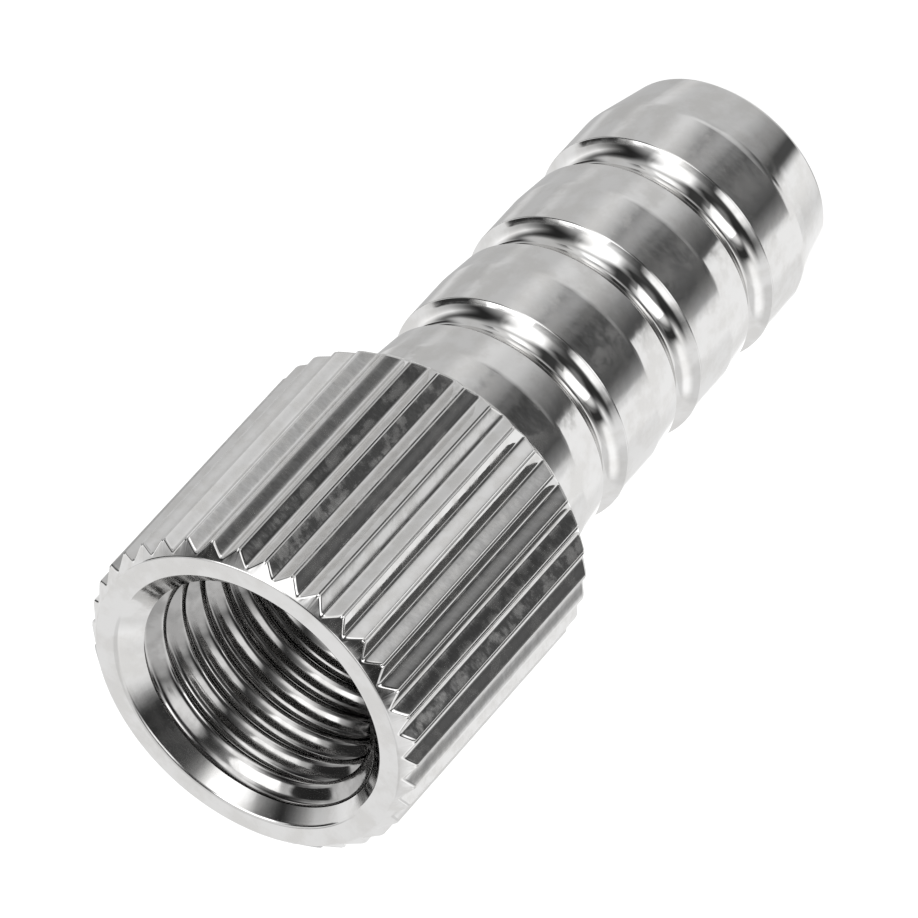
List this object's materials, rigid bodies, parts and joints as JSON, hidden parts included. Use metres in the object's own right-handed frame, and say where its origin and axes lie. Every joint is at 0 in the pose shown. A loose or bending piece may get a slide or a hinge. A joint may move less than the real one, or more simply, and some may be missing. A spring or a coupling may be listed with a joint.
{
  "type": "hose connector",
  "caption": "Metal hose connector with a knurled internally threaded head and a tail with round grooves that hold a hose.",
  "frame": {"origin": "middle of the tail's end face, which the part stands on", "axes": "+Z along the axis of thread and tail, out of the thread's mouth; +X through the bottom of a knurl flute"},
  "size_m": [0.016, 0.016, 0.0385],
  "materials": {
    "nickel": "bright nickel plate on brass, turned and knurled"
  },
  "bodies": {
    "root": {"hose_connector": "nickel"}
  },
  "joints": []
}
